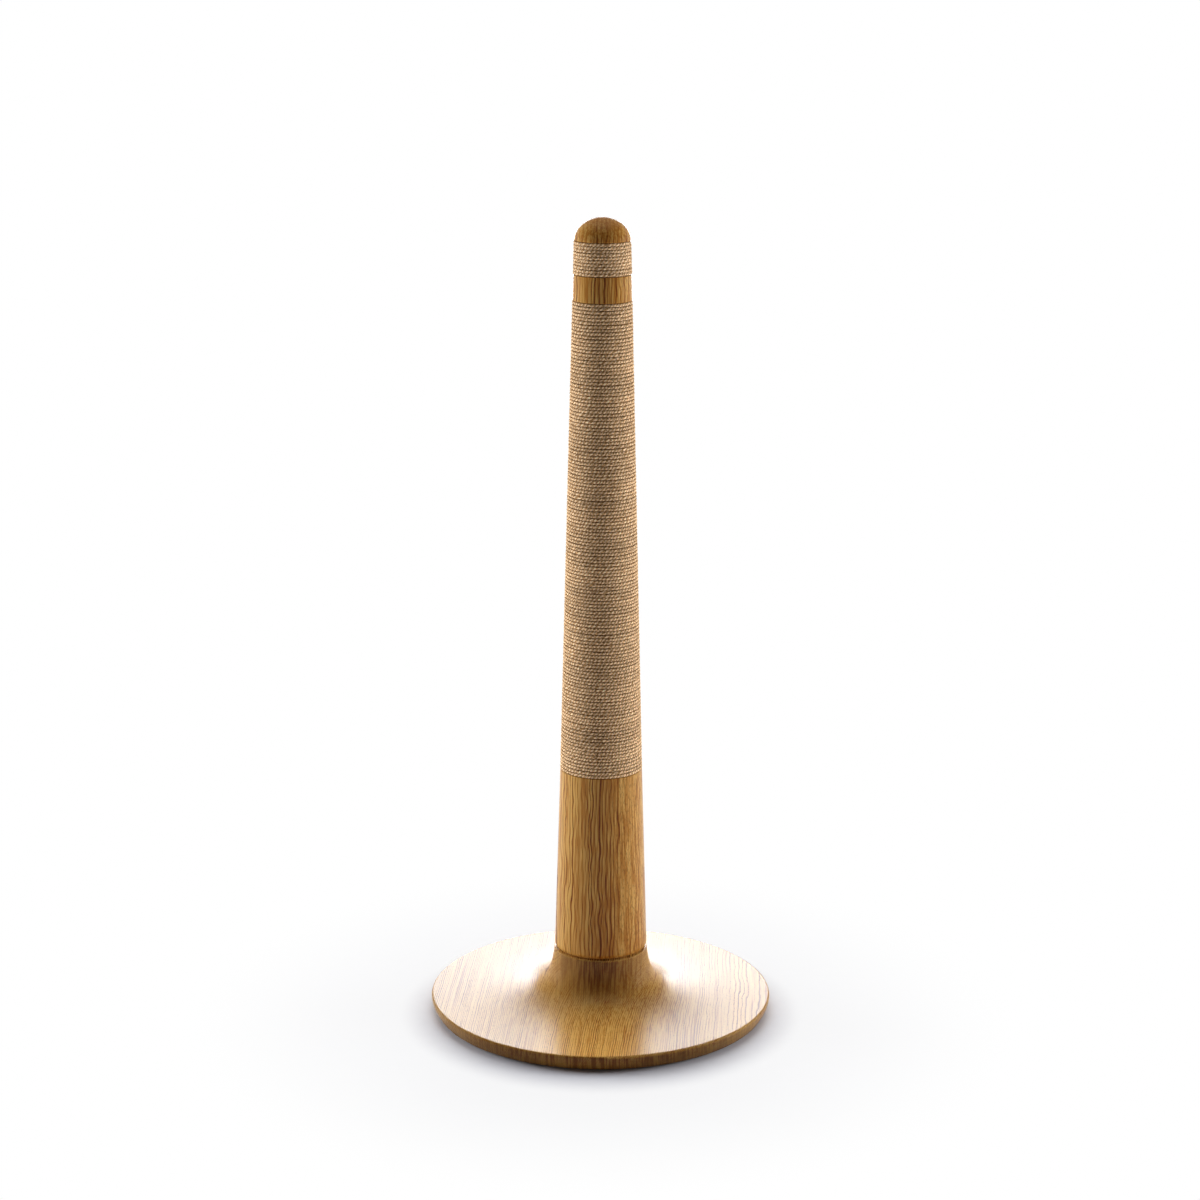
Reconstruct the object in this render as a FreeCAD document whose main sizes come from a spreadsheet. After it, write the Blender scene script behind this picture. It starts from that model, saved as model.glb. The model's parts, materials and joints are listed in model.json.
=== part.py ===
# A free-standing cat scratcher: a tapered turned oak post, wound with cord in two lengths, that is bolted to
# a round oak base. The base flares up from a thin undercut rim into a narrow neck. All sizes are in millimetres.
# The origin is on the floor, under the middle of the base, and Z is up.
import FreeCAD
import Part
import math
import os
import re
import Sketcher
from FreeCAD import Placement, Rotation, Vector

SIZES = {
    # Base
    "base_diameter": 400,
    "rim_thickness": 17,
    "rim_round": 2.5,
    "rim_undercut": 6,
    "neck_height": 73,
    "collar_margin": 0.4,
    "collar_round": 1.6,
    # Control points of the flare, measured from the neck's top edge and from the rim's top edge
    "flare_neck_drop": 50,
    "flare_neck_spread": 4.5,
    "flare_dish_run": 121.5,
    "flare_dish_rise": 0.5,
    # Post, from its foot to its domed top
    "post_foot_diameter": 108.4,
    "bare_top_diameter": 95,
    "dome_diameter": 64,
    "bare_length": 219.5,
    "main_winding_height": 544,
    "band_height": 29,
    "top_winding_height": 37.5,
    "dome_height": 25.5,
    "dome_fullness": 0.53,
    "edge_ease": 0.6,
    # Dark reveal between the post and the base's collar
    "reveal_height": 1.8,
    "reveal_depth": 7,
    "foot_round_depth": 3,
    "foot_round_height": 5,
    # Joint between post and base
    "spigot_diameter": 60,
    "spigot_length": 15,
    "fit_clearance": 0.2,
    "end_clearance": 0.5,
    "bolt_diameter": 10,
    "bolt_length": 90,
    "bolt_head_flats": 16,
    "bolt_head_height": 6.4,
    "bolt_clearance": 0.5,
    "bolt_tip_room": 5,
    "washer_diameter": 30,
    "washer_thickness": 2.5,
    "insert_diameter": 16,
    "insert_length": 30,
    "insert_inset": 1,
    "dowel_diameter": 8,
    "dowel_length": 30,
    "small_chamfer": 0.8,
    # Ballast under the base
    "ballast_diameter": 240,
    "ballast_thickness": 8,
    "ballast_recess_depth": 10,
    "ballast_hole_diameter": 44,
    "screw_inset": 25,
    "screw_diameter": 5,
    "screw_head_diameter": 9.6,
    "screw_length": 15,
    # Rubber feet
    "foot_diameter": 24,
    "foot_height": 2,
    "foot_seat_depth": 3,
    "foot_inset": 34,
    # Cord. The turns are drawn thinner than the cord, so that they stay apart
    "turn_diameter": 3.2,
    "top_turn_gap": 0.56,
    "main_turn_gap": 0.74,
    "turn_proud": 0.2,
    "tail_bend": 4.2,
    "tail_straight": 6,
}
FOOT_COUNT = 6
SCREW_COUNT = 4
DOWEL_COUNT = 2
# Of the main winding, only this many turns next to each wooden shoulder are drawn one by one
MAIN_TURNS_DRAWN = 12
# Where the windings start, in degrees from +X. The quarter turn before this is where the first turn climbs, and
# each later turn climbs further round by the drift, so that the ends of a winding lie away from the front
TOP_START_ANGLE = 68
TOP_DRIFT = 1.2
MAIN_START_ANGLE = 135
MAIN_DRIFT = 0

# Levels above the floor
NECK_TOP = "(foot_height + neck_height)"
SPIGOT_END = f"({NECK_TOP} - spigot_length)"
BARE_TOP = f"({NECK_TOP} + bare_length)"
BAND_BOTTOM = f"({BARE_TOP} + main_winding_height)"
BAND_TOP = f"({BAND_BOTTOM} + band_height)"
DOME_BOTTOM = f"({BAND_TOP} + top_winding_height)"
POST_TOP = f"({DOME_BOTTOM} + dome_height)"
RECESS_CEILING = "(foot_height + ballast_recess_depth)"
BOLT_SEAT = f"({RECESS_CEILING} - washer_thickness)"
BOLT_TIP = f"({BOLT_SEAT} + bolt_length)"
INSERT_START = f"({SPIGOT_END} + insert_inset)"
INSERT_END = f"({INSERT_START} + insert_length)"
# Radii
RIM = "(base_diameter / 2)"
POST_FOOT = "(post_foot_diameter / 2)"
LAND = f"({POST_FOOT} - reveal_depth)"
NECK = f"({POST_FOOT} + collar_margin)"
DOWEL_RING = f"((spigot_diameter / 2 + {LAND}) / 2)"
SCREW_RING = "(ballast_diameter / 2 - screw_inset)"
FOOT_RING = f"({RIM} - foot_inset)"
SEAT_DEPTH = "(turn_diameter + fit_clearance - turn_proud)"

doc = FreeCAD.newDocument("cat_scratcher")
sheet = doc.addObject("Spreadsheet::Sheet", "dims")
for row, (alias, size) in enumerate(SIZES.items(), start=1):
    sheet.set(f"A{row}", alias)
    sheet.set(f"B{row}", str(size))
    sheet.setAlias(f"B{row}", alias)
doc.recompute()


def from_sheet(expression):
    """The expression with every alias written as the document reads it."""
    return re.sub(r"[a-z_]\w+", lambda word: f"dims.{word[0]}" if word[0] in SIZES else word[0], expression)


def value(expression):
    """What an expression of aliases comes to."""
    return float(sheet.evalExpression(from_sheet(expression)))


def post_line(level):
    """The radius of the wood's outline at a level above the bare length."""
    share = f"({level} - {BARE_TOP}) / ({DOME_BOTTOM} - {BARE_TOP})"
    return f"(bare_top_diameter / 2 - (bare_top_diameter - dome_diameter) / 2 * {share})"


# Sketches and bodies


def origin_part(body, role):
    return next(part for part in body.Origin.OriginFeatures if part.Role == role)


def new_sketch(body, name, plane, level="0"):
    """A sketch on a plane of the body's origin, raised to a level along Z if it lies flat."""
    sketch = body.newObject("Sketcher::SketchObject", name)
    sketch.AttachmentSupport = [(origin_part(body, plane), "")]
    sketch.MapMode = "FlatFace"
    if plane == "XY_Plane":
        sketch.AttachmentOffset = Placement(Vector(0, 0, value(level)), Rotation())
        sketch.setExpression(".AttachmentOffset.Base.z", from_sheet(level))
    return sketch


def tie(sketch, kind, items, expression):
    """A constraint whose size is an expression of the sheet."""
    index = sketch.addConstraint(Sketcher.Constraint(kind, *items, value(expression)))
    sketch.setExpression(f"Constraints[{index}]", from_sheet(expression))


def tie_point(sketch, point, across, up):
    """Ties a point of the sketch to its distances from the sketch's axes."""
    for kind, axis, expression in (("DistanceX", -2, across), ("DistanceY", -1, up)):
        if abs(value(expression)) < 1e-9:
            sketch.addConstraint(Sketcher.Constraint("PointOnObject", *point, axis))
        else:
            tie(sketch, kind, (-1, 1, *point), expression)


def quarter_arc(start, end, bulge):
    """The quarter circle from start to end that bulges to the right of its way, or to the left if bulge is
    negative."""
    chord = end - start
    right = Vector(chord.y, -chord.x, 0)
    return Part.Arc(start, start + chord * 0.5 + right * (bulge * 0.5 * math.tan(math.pi / 8)), end)


def draw_outline(sketch, outline):
    """A closed outline. Each entry is a corner (radius, level) with the edge that leaves it: none for a
    straight line, ("round", radius, bulge) for a quarter circle, or ("curve", point, point) with two control
    points."""
    corners = [Vector(value(entry[0]), value(entry[1]), 0) for entry in outline]
    ends = []
    for index, (_, _, *edge) in enumerate(outline):
        start, end = corners[index], corners[(index + 1) % len(corners)]
        kind = edge[0][0] if edge else "line"
        if kind == "line":
            geometry = sketch.addGeometry(Part.LineSegment(start, end))
        elif kind == "round":
            geometry = sketch.addGeometry(quarter_arc(start, end, edge[0][2]))
            tie(sketch, "Radius", (geometry,), edge[0][1])
        else:
            controls = [Vector(value(across), value(up), 0) for across, up in edge[0][1:]]
            spline = Part.BSplineCurve()
            spline.buildFromPolesMultsKnots([start, *controls, end], [4, 4], [0, 1], False, 3)
            geometry = sketch.addGeometry(spline)
            sketch.exposeInternalGeometry(geometry)
            for place, (across, up) in enumerate(edge[0][1:], start=2):
                tie_point(sketch, (geometry + place, 3), across, up)
        first = 1 if sketch.getPoint(geometry, 1).distanceToPoint(start) < 1e-6 else 2
        ends.append(((geometry, first), (geometry, 3 - first)))
    for index, (start_point, _) in enumerate(ends):
        sketch.addConstraint(Sketcher.Constraint("Coincident", *ends[index - 1][1], *start_point))
        tie_point(sketch, start_point, outline[index][0], outline[index][1])


def turned_body(label, outline):
    """A body turned about Z from a closed outline of radii and levels."""
    body = doc.addObject("PartDesign::Body", label)
    sketch = new_sketch(body, f"{label}_outline", "XZ_Plane")
    draw_outline(sketch, outline)
    turning = body.newObject("PartDesign::Revolution", f"{label}_turning")
    turning.Profile = sketch
    turning.ReferenceAxis = (sketch, ["V_Axis"])
    turning.Angle = 360
    sketch.Visibility = False
    doc.recompute()
    return body


def drill_ring(body, name, count, ring, diameter, level, depth, upward):
    """A ring of blind holes about Z, cut up or down from a level."""
    before = body.Shape.Volume
    sketch = new_sketch(body, f"{name}_centre", "XY_Plane", level)
    circle = sketch.addGeometry(Part.Circle(Vector(value(ring), 0, 0), Vector(0, 0, 1), value(diameter) / 2))
    tie(sketch, "Diameter", (circle,), diameter)
    tie_point(sketch, (circle, 3), ring, "0")
    hole = body.newObject("PartDesign::Pocket", name)
    hole.Profile = sketch
    hole.Reversed = upward
    hole.Length = value(depth)
    hole.setExpression("Length", from_sheet(depth))
    doc.recompute()
    pattern = body.newObject("PartDesign::PolarPattern", f"{name}_ring")
    pattern.Originals = [hole]
    pattern.Axis = (origin_part(body, "Z_Axis"), [""])
    pattern.Angle = 360
    pattern.Occurrences = count
    body.Tip = pattern
    doc.recompute()
    removed = before - body.Shape.Volume
    wanted = count * math.pi / 4 * value(diameter) ** 2 * value(depth)
    if abs(removed - wanted) > 0.01 * wanted:
        raise ValueError(f"{name} removes {removed:.0f} of {wanted:.0f} cubic millimetres")


def disc_outline(radius, bottom, top, chamfer, bore=None):
    """A disc, pin or ring with chamfered outer edges."""
    inner = bore or "0"
    return [
        (inner, bottom),
        (f"{radius} - {chamfer}", bottom),
        (radius, f"{bottom} + {chamfer}"),
        (radius, f"{top} - {chamfer}"),
        (f"{radius} - {chamfer}", top),
        (inner, top),
    ]


# Base


def make_base():
    rim_end = f"{RIM} - rim_round"
    rim_top = "foot_height + rim_thickness"
    rim_third = "(rim_thickness - rim_round) / 3"
    rim_face = (
        "curve",
        (f"{RIM} - rim_undercut / 2", f"foot_height + {rim_third}"),
        (RIM, f"foot_height + 2 * {rim_third}"),
    )
    flare = (
        "curve",
        (f"{rim_end} - flare_dish_run", f"{rim_top} + flare_dish_rise"),
        (f"{NECK} + flare_neck_spread", f"{NECK_TOP} - flare_neck_drop"),
    )
    recess = "ballast_diameter / 2 + fit_clearance"
    bore = "bolt_diameter / 2 + bolt_clearance"
    socket = "spigot_diameter / 2 + fit_clearance"
    socket_floor = f"{SPIGOT_END} - end_clearance"
    outline = [
        (recess, "foot_height"),
        (f"{RIM} - rim_undercut", "foot_height", rim_face),
        (RIM, f"{rim_top} - rim_round", ("round", "rim_round", 1)),
        (rim_end, rim_top, flare),
        (NECK, f"{NECK_TOP} - collar_round", ("round", "collar_round", 1)),
        (f"{NECK} - collar_round", NECK_TOP),
        (socket, NECK_TOP),
        (socket, socket_floor),
        (bore, socket_floor),
        (bore, RECESS_CEILING),
        (recess, RECESS_CEILING),
    ]
    base = turned_body("base", outline)
    drill_ring(
        base, "foot_seat", FOOT_COUNT, FOOT_RING, "foot_diameter + 2 * fit_clearance", "foot_height",
        "foot_seat_depth", True,
    )
    drill_ring(
        base, "base_dowel_hole", DOWEL_COUNT, DOWEL_RING, "dowel_diameter + 2 * fit_clearance", NECK_TOP,
        "dowel_length / 2", False,
    )
    drill_ring(
        base, "screw_hole", SCREW_COUNT, SCREW_RING, "screw_diameter + 2 * fit_clearance", RECESS_CEILING,
        "screw_length - ballast_thickness + end_clearance", True,
    )
    return base


def make_feet():
    """Rubber feet, glued into seats under the rim."""
    feet = []
    top = "foot_height + foot_seat_depth"
    for number in range(FOOT_COUNT):
        foot = turned_body(f"foot_{number + 1}", disc_outline("foot_diameter / 2", "0", top, "small_chamfer"))
        place_on_ring(foot, FOOT_RING, 360 / FOOT_COUNT * number)
        feet.append(foot)
    return feet


def place_on_ring(body, ring, angle):
    """Stands a body that was turned about Z on a ring round Z, and keeps it there when the sheet changes."""
    turn = math.radians(angle)
    body.setExpression(".Placement.Base.x", from_sheet(f"{ring} * {math.cos(turn):.9f}"))
    body.setExpression(".Placement.Base.y", from_sheet(f"{ring} * {math.sin(turn):.9f}"))


# Ballast


def screw_outline(clearance):
    """A countersunk screw, head down, with the tip's end flat."""
    shank = f"screw_diameter / 2 + {clearance}"
    head = f"screw_head_diameter / 2 + {clearance}"
    plate_bottom = f"{RECESS_CEILING} - ballast_thickness"
    return [
        ("0", plate_bottom),
        (head, plate_bottom),
        (shank, f"{plate_bottom} + (screw_head_diameter - screw_diameter) / 2"),
        (shank, f"{plate_bottom} + screw_length"),
        ("0", f"{plate_bottom} + screw_length"),
    ]


def ring_copies(name, blank, ring, count):
    """A group of copies of a turned blank on a ring round Z."""
    blank.Visibility = False
    copies = []
    for number in range(count):
        turn = 2 * math.pi / count * number
        copy = blank.Shape.copy()
        copy.translate(Vector(value(ring) * math.cos(turn), value(ring) * math.sin(turn), 0))
        copies.append(copy)
    group = doc.addObject("Part::Feature", name)
    group.Shape = Part.makeCompound(copies)
    return group


def cut(name, base, tool):
    piece = doc.addObject("Part::Cut", name)
    piece.Base = base
    piece.Tool = tool
    doc.recompute()
    return piece


def make_ballast():
    bottom = f"{RECESS_CEILING} - ballast_thickness"
    bore = "ballast_hole_diameter / 2"
    disc = disc_outline("ballast_diameter / 2", bottom, RECESS_CEILING, "small_chamfer", bore)
    blank = turned_body("ballast_blank", disc)
    tool = turned_body("screw_tool", screw_outline("fit_clearance"))
    plate = cut("ballast_plate", blank, ring_copies("screw_tools", tool, SCREW_RING, SCREW_COUNT))
    screw = turned_body("ballast_screw", screw_outline("0"))
    return [plate, ring_copies("ballast_screws", screw, SCREW_RING, SCREW_COUNT)]


# Bolted joint


def make_bolt():
    shank = "bolt_diameter / 2"
    bolt = turned_body(
        "tie_bolt",
        [
            ("0", BOLT_SEAT),
            (shank, BOLT_SEAT),
            (shank, f"{BOLT_TIP} - small_chamfer"),
            (f"{shank} - small_chamfer", BOLT_TIP),
            ("0", BOLT_TIP),
        ],
    )
    head = bolt.newObject("PartDesign::AdditivePrism", "bolt_head")
    head.Polygon = 6
    head.setExpression("Circumradius", from_sheet("bolt_head_flats / sqrt(3)"))
    head.setExpression("Height", from_sheet("bolt_head_height"))
    head.AttachmentSupport = [(origin_part(bolt, "XY_Plane"), "")]
    head.MapMode = "FlatFace"
    head.setExpression(".AttachmentOffset.Base.z", from_sheet(f"{BOLT_SEAT} - bolt_head_height"))
    doc.recompute()
    return bolt


def make_joint_pieces():
    bore = "bolt_diameter / 2 + fit_clearance"
    washer = disc_outline("washer_diameter / 2", BOLT_SEAT, RECESS_CEILING, "small_chamfer", bore)
    insert = disc_outline("insert_diameter / 2", INSERT_START, INSERT_END, "small_chamfer", bore)
    pin = disc_outline(
        "dowel_diameter / 2",
        f"{NECK_TOP} - dowel_length / 2",
        f"{NECK_TOP} + dowel_length / 2",
        "small_chamfer",
    )
    pieces = [make_bolt(), turned_body("bolt_washer", washer), turned_body("threaded_insert", insert)]
    for number in range(DOWEL_COUNT):
        dowel = turned_body(f"locating_dowel_{number + 1}", pin)
        place_on_ring(dowel, DOWEL_RING, 360 / DOWEL_COUNT * number)
        pieces.append(dowel)
    return pieces


# Windings


def path_point(angle, level):
    """Where the middle of the cord lies on the tapered post, at an angle in degrees."""
    radius = seat_radius(level) + clearance + turn_diameter / 2
    return Vector(radius * math.cos(math.radians(angle)), radius * math.sin(math.radians(angle)), level)


def along(angle):
    """The way that a level turn runs at an angle."""
    return Vector(-math.sin(math.radians(angle)), math.cos(math.radians(angle)), 0)


def arc_from(start, way, end):
    """The arc that leaves start along a unit direction and ends at end."""
    chord = end - start
    lean = way.getAngle(chord)
    side = way - chord * (way.dot(chord) / chord.dot(chord))
    middle = (start + end) * 0.5
    if side.Length > 1e-9:
        middle = middle + side.normalize() * (chord.Length / 2 * math.tan(lean / 2))
    return Part.Arc(start, middle, end)


def biarc(start, way_out, end, way_in):
    """Two arcs that leave start along one direction, reach end along another, and share a tangent where they
    meet."""
    chord = end - start
    ways = way_out + way_in
    bend = 2 * (1 - way_out.dot(way_in))
    across = chord.dot(ways)
    reach = (math.sqrt(across**2 + bend * chord.dot(chord)) - across) / bend
    meeting = (start + way_out * reach + end - way_in * reach) * 0.5
    second = arc_from(end, way_in * -1, meeting)
    return [arc_from(start, way_out, meeting), Part.Arc(meeting, second.value(middle_of(second)), end)]


def middle_of(curve):
    return (curve.FirstParameter + curve.LastParameter) / 2


def turns(levels, start_angle, drift):
    """The path of the turns. Each turn lies level, then climbs to the next in a quarter turn, and that quarter
    moves round the post by the drift, in degrees, from turn to turn."""
    edges = []
    third = (270 + drift) / 3
    for number, level in enumerate(levels):
        turn_start = start_angle + drift * number
        for part in range(3):
            angle = turn_start + third * part
            edges.append(Part.Arc(*(path_point(angle + third * share, level) for share in (0, 0.5, 1))))
        if number + 1 < len(levels):
            next_start = turn_start + drift
            top = path_point(next_start, levels[number + 1])
            edges += biarc(path_point(next_start - 90, level), along(next_start - 90), top, along(next_start))
    return edges


def tail(point, way):
    """From the end of a turn, a quarter bend towards the axis and a straight run into the wood."""
    bend = value("tail_bend")
    inward = Vector(-point.x, -point.y, 0).normalize()
    centre = point + inward * bend
    middle = centre + (way - inward).normalize() * bend
    foot = centre + way * bend
    end = foot + inward * value("tail_straight")
    return [Part.Arc(point, middle, foot), Part.LineSegment(foot, end)]


def backwards(edges):
    """The same edges, run the other way."""
    turned = []
    for edge in reversed(edges):
        start, end = edge.EndPoint, edge.StartPoint
        if isinstance(edge, Part.LineSegment):
            turned.append(Part.LineSegment(start, end))
        else:
            turned.append(Part.Arc(start, edge.value(middle_of(edge)), end))
    return turned


def tube(edges, diameter):
    """A round tube along edges that run on from each other, tested by its volume."""
    path = Part.Wire([edge.toShape() for edge in edges])
    first = edges[0]
    ring = Part.Circle(first.StartPoint, first.tangent(first.FirstParameter)[0], diameter / 2)
    solid = path.makePipeShell([Part.Wire(ring.toShape())], True, False)
    wanted = math.pi / 4 * diameter**2 * path.Length
    if abs(solid.Volume - wanted) > 0.01 * wanted:
        raise ValueError(f"a tube holds {solid.Volume:.0f} of {wanted:.0f} cubic millimetres")
    return solid


def least_gap(edges, diameter):
    """The least gap between a tube and itself, from points that are over two diameters apart along its path."""
    step = diameter / 8
    points = Part.Wire([edge.toShape() for edge in edges]).discretize(Distance=step)
    apart = 2 * diameter
    cells = {}
    least = math.inf
    for number, point in enumerate(points):
        cell = tuple(math.floor(part / apart) for part in point)
        near = [
            other
            for x in (-1, 0, 1)
            for y in (-1, 0, 1)
            for z in (-1, 0, 1)
            for other in cells.get((cell[0] + x, cell[1] + y, cell[2] + z), ())
        ]
        for other in near:
            if (number - other) * step > apart:
                least = min(least, point.distanceToPoint(points[other]))
        cells.setdefault(cell, []).append(number)
    return least - diameter


def winding(name, levels, start_angle, drift, first_tail, last_tail):
    """One unbroken tube of turns. An end with a tail goes into the post, the other end runs on straight."""
    edges = turns(levels, start_angle, drift)
    end_angle = start_angle + drift * len(levels) - 90
    start, end = path_point(start_angle, levels[0]), path_point(end_angle, levels[-1])
    run_in = tail(start, along(start_angle) * -1)
    run_out = tail(end, along(end_angle))
    before, after = backwards(run_in), run_out
    if not first_tail:
        before = [Part.LineSegment(start - along(start_angle) * turn_diameter, start)]
    if not last_tail:
        after = [Part.LineSegment(end, end + along(end_angle) * turn_diameter)]
    path = before + edges + after
    print(f"{name}: {len(levels)} turns, least gap between them {least_gap(path, turn_diameter):.2f} mm")
    piece = doc.addObject("Part::Feature", name)
    piece.Shape = tube(path, turn_diameter)
    bored = ([run_in] if first_tail else []) + ([run_out] if last_tail else [])
    anchor_bores.extend(tube(run, turn_diameter + clearance) for run in bored)
    return piece


def seat_radius(level):
    """The radius of the windings' seats at a level, as a number."""
    share = (level - bare_top) / (dome_bottom - bare_top)
    return line_at_bare_top + (line_at_dome - line_at_bare_top) * share - seat_depth


def turn_levels(bottom, height, least_step):
    """The levels of as many turns as fit in a seat, spread evenly from shoulder to shoulder."""
    first = bottom + clearance + turn_diameter / 2
    room = height - turn_diameter - 2 * clearance
    steps = math.floor(room / least_step)
    return [first + room / steps * number for number in range(steps + 1)]


def make_windings():
    """The top winding, turn by turn, and the main winding, whose middle turns are one plain sleeve."""
    top_step = value("turn_diameter + top_turn_gap")
    top_levels = turn_levels(value(BAND_TOP), value("top_winding_height"), top_step)
    top = winding("top_winding", top_levels, TOP_START_ANGLE, TOP_DRIFT, True, True)
    main_step = value("turn_diameter + main_turn_gap")
    levels = turn_levels(bare_top, value("main_winding_height"), main_step)
    print(f"main_winding: {len(levels)} turns in all")
    lower_levels, upper_levels = levels[:MAIN_TURNS_DRAWN], levels[-MAIN_TURNS_DRAWN:]
    lower = winding("main_lower_turns", lower_levels, MAIN_START_ANGLE, MAIN_DRIFT, True, False)
    upper = winding("main_upper_turns", upper_levels, MAIN_START_ANGLE, MAIN_DRIFT, False, True)
    turn_gap = levels[1] - levels[0] - turn_diameter
    sleeve = doc.addObject("Part::Feature", "main_middle_turns")
    sleeve.Shape = sleeve_shape(lower_levels[-1], upper_levels[0], turn_gap)
    main = doc.addObject("Part::Compound", "main_winding")
    main.Links = [lower, sleeve, upper]
    return [top, main]


def sleeve_shape(last_lower, first_upper, turn_gap):
    """The plain stretch between two drawn turns, as thick as the turns and a turn's gap away from them."""
    bottom = last_lower + turn_diameter / 2 + turn_gap
    top = first_upper - turn_diameter / 2 - turn_gap
    inner = [(seat_radius(level) + clearance, level) for level in (bottom, top)]
    outer = [(radius + turn_diameter, level) for radius, level in inner]
    ring = [Vector(radius, 0, level) for radius, level in (inner[0], outer[0], outer[1], inner[1], inner[0])]
    return Part.Face(Part.makePolygon(ring)).revolve(Vector(), Vector(0, 0, 1), 360)


# Post


def shoulder(level, upward):
    """The corners of an eased edge where the wood's outline meets a seat, in the order of the climb."""
    line = post_line(level)
    face = [(f"{line} - {SEAT_DEPTH}", level), (f"{line} - edge_ease", level)]
    if upward:
        return [*face, (post_line(f"({level} + edge_ease)"), f"{level} + edge_ease")]
    return [(post_line(f"({level} - edge_ease)"), f"{level} - edge_ease"), *reversed(face)]


def make_post():
    spigot = "spigot_diameter / 2"
    insert = "insert_diameter / 2 + fit_clearance"
    bore_end = f"max({BOLT_TIP}; {INSERT_END}) + bolt_tip_room"
    foot_top = f"{NECK_TOP} + reveal_height"
    bare_slope = "((post_foot_diameter - bare_top_diameter) / 2 / bare_length)"
    side = f"({POST_FOOT} - {bare_slope} * (reveal_height + foot_round_height))"
    foot_round = (
        "curve",
        (f"{POST_FOOT} - foot_round_depth / 2", foot_top),
        (side, f"{foot_top} + foot_round_height / 2"),
    )
    dome = (
        "curve",
        ("dome_diameter / 2", f"{DOME_BOTTOM} + edge_ease + dome_fullness * (dome_height - edge_ease)"),
        ("dome_diameter / 2 * dome_fullness", POST_TOP),
    )
    outline = [
        (insert, SPIGOT_END),
        (f"{spigot} - small_chamfer", SPIGOT_END),
        (spigot, f"{SPIGOT_END} + small_chamfer"),
        (spigot, NECK_TOP),
        (LAND, NECK_TOP),
        (LAND, foot_top),
        (f"{POST_FOOT} - foot_round_depth", foot_top, foot_round),
        (side, f"{foot_top} + foot_round_height"),
        (f"bare_top_diameter / 2 + {bare_slope} * edge_ease", f"{BARE_TOP} - edge_ease"),
        ("bare_top_diameter / 2 - edge_ease", BARE_TOP),
        (f"bare_top_diameter / 2 - {SEAT_DEPTH}", BARE_TOP),
        *shoulder(BAND_BOTTOM, True),
        *shoulder(BAND_TOP, False),
        (f"dome_diameter / 2 - {SEAT_DEPTH}", DOME_BOTTOM),
        ("dome_diameter / 2 - edge_ease", DOME_BOTTOM),
        ("dome_diameter / 2", f"{DOME_BOTTOM} + edge_ease", dome),
        ("0", POST_TOP),
        ("0", bore_end),
        (insert, bore_end),
    ]
    blank = turned_body("post_blank", outline)
    drill_ring(
        blank, "post_dowel_hole", DOWEL_COUNT, DOWEL_RING, "dowel_diameter + 2 * fit_clearance", NECK_TOP,
        "dowel_length / 2 + end_clearance", True,
    )
    bores = doc.addObject("Part::Feature", "anchor_bores")
    bores.Shape = Part.makeCompound(anchor_bores)
    return cut("post", blank, bores)


# Sizes that the windings' formulas use as numbers
turn_diameter = value("turn_diameter")
clearance = value("fit_clearance")
seat_depth = value(SEAT_DEPTH)
bare_top = value(BARE_TOP)
dome_bottom = value(DOME_BOTTOM)
line_at_bare_top = value("bare_top_diameter / 2")
line_at_dome = value("dome_diameter / 2")
anchor_bores = []

windings = make_windings()
pieces = [make_base(), make_post(), *windings, *make_joint_pieces(), *make_ballast(), *make_feet()]
doc.recompute()

for item in doc.Objects:
    if "Invalid" in item.State or "Error" in item.State:
        raise ValueError(f"{item.Label} failed: {item.State}")
for piece in pieces:
    if piece.Shape.isNull() or not piece.Shape.isValid():
        raise ValueError(f"{piece.Label} has no valid shape")

os.makedirs("parts", exist_ok=True)
for piece in pieces:
    piece.Shape.exportStep(f"parts/{piece.Label}.step")
    volume = piece.Shape.Volume / 1000
    print(f"{piece.Label}: {len(piece.Shape.Solids)} solid(s), {volume:.1f} cubic centimetres")
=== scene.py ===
# The looks of a free-standing cat scratcher: an oiled oak post on a flared oak base, wound with cord.
# Lengths are in metres unless a name or a comment says otherwise. Z is up, the floor is at 0 and the
# viewer is on the -Y side.
import json
import math
import bpy
import numpy as np
from mathutils import Matrix, Vector


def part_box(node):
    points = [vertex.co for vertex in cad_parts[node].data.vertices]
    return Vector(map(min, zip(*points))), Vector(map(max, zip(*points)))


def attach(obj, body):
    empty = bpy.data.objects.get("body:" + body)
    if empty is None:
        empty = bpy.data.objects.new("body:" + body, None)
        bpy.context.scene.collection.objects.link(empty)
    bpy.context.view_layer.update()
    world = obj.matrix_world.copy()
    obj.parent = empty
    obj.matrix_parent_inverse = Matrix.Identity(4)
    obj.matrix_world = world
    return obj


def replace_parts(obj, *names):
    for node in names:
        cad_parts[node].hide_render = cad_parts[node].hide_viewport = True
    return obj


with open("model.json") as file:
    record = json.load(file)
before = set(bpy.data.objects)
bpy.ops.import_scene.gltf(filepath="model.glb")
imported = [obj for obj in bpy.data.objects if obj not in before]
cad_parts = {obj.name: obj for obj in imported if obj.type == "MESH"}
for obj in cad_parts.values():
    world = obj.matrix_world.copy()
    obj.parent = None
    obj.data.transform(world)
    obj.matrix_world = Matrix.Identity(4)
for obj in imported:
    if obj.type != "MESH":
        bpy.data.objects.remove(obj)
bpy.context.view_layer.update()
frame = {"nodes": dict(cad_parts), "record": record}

MM = 0.001
scene = bpy.context.scene
scene.view_settings.view_transform = "Standard"
random = np.random.default_rng(7)


# Node trees


def add(tree, kind, inputs=None, **settings):
    """A new node. inputs maps an input's name or number to a socket that feeds it, or to a plain value."""
    node = tree.nodes.new(kind)
    for key, setting in settings.items():
        setattr(node, key, setting)
    for key, source in (inputs or {}).items():
        if isinstance(source, bpy.types.NodeSocket):
            tree.links.new(source, node.inputs[key])
        else:
            node.inputs[key].default_value = source
    return node


def calc(tree, operation, *values):
    """The result of an operation on numbers."""
    return add(tree, "ShaderNodeMath", dict(enumerate(values)), operation=operation).outputs[0]


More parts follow.
